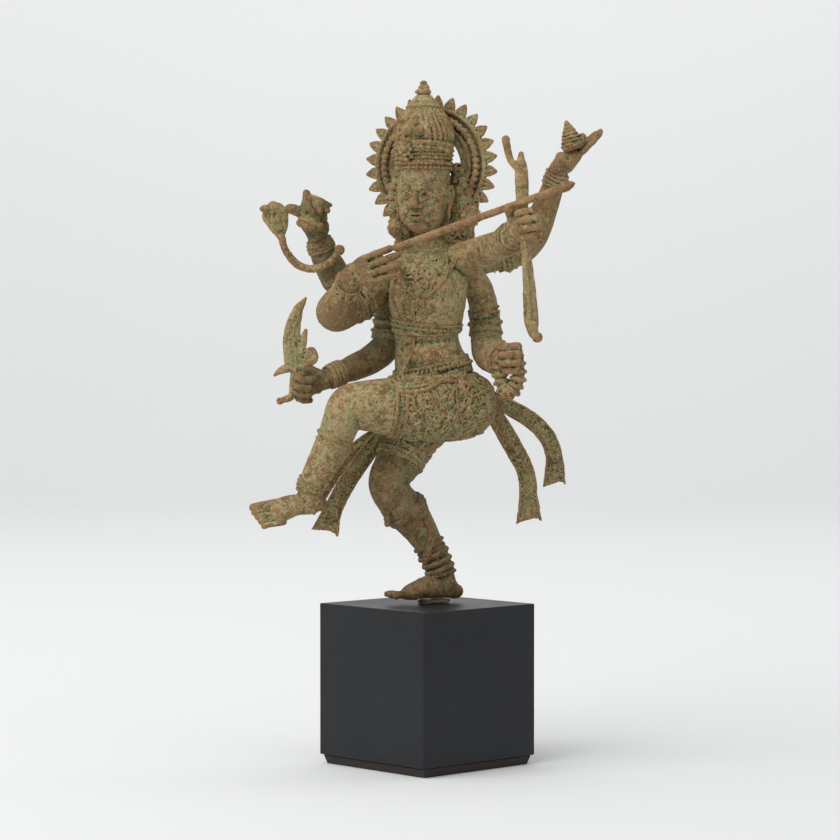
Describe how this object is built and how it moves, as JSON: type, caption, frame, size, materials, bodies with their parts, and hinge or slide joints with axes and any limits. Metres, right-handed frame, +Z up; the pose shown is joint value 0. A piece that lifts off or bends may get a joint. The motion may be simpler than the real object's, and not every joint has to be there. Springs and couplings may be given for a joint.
{
  "type": "bronze statue on plinth",
  "caption": "Six-armed archer deity in a dance pose, cast bronze with green-brown patina, standing on one foot on a black wooden cube.",
  "frame": {"origin": "centre of the base board's underside, where the plinth stands", "axes": "+Z up along the mounting stud, +X and -Y out of two side faces of the plinth. The figure looks between those two faces."},
  "size_m": [0.1627, 0.1485, 0.343],
  "materials": {
    "bronze_patina": "cast bronze, green and brown granular patina",
    "bronze_worn": "cast bronze, browner and more worn",
    "black_paint": "wood painted satin black",
    "board_brown": "dark brown board with a felt face",
    "zinc": "zinc plated steel"
  },
  "bodies": {
    "plinth": {"plinth_block": "black_paint", "base_board": "board_brown", "mounting_washer": "zinc"},
    "figure": {"bow": "bronze_patina", "bow_arm": "bronze_patina", "bow_bracelet": "bronze_worn", "chest_band": "bronze_worn", "cobra": "bronze_patina", "conch": "bronze_patina", "conch_arm": "bronze_patina", "conch_armlet": "bronze_worn", "conch_bracelet": "bronze_worn", "crown": "bronze_patina", "crown_finial": "bronze_worn", "draw_arm": "bronze_patina", "draw_armlet": "bronze_worn", "draw_bracelet": "bronze_worn", "drum_arm": "bronze_patina", "drum_bracelet": "bronze_worn", "foot_boss": "bronze_worn", "hair_locks": "bronze_patina", "halo": "bronze_patina", "hand_drum": "bronze_patina", "head": "bronze_patina", "hips_and_dhoti": "bronze_patina", "left_earring": "bronze_worn", "mounting_nut": "zinc", "mounting_stud": "zinc", "necklace": "bronze_worn", "noose": "bronze_patina", "noose_arm": "bronze_patina", "noose_armlet": "bronze_worn", "noose_bracelet": "bronze_worn", "raised_anklet": "bronze_worn", "raised_garter": "bronze_worn", "raised_leg": "bronze_patina", "right_earring": "bronze_worn", "sash_left_inner": "bronze_patina", "sash_left_outer": "bronze_patina", "sash_right_inner": "bronze_patina", "sash_right_outer": "bronze_patina", "standing_anklet": "bronze_worn", "standing_garter": "bronze_worn", "standing_leg": "bronze_patina", "sword": "bronze_patina", "sword_arm": "bronze_patina", "sword_armlet": "bronze_worn", "sword_bracelet": "bronze_worn", "torso": "bronze_patina", "waist_belt": "bronze_worn"},
    "arrow": {"arrow": "bronze_worn"}
  },
  "joints": [
    {"name": "figure_turn", "type": "hinge", "parent": "plinth", "child": "figure", "pos_m": [0, 0, 0.0806], "axis": [0, 0, 1], "range_deg": [-180, 180]},
    {"name": "arrow_slide", "type": "slide", "parent": "figure", "child": "arrow", "axis": [0.8986, 0.3281, 0.2915], "range_m": [0, 0.1]}
  ]
}
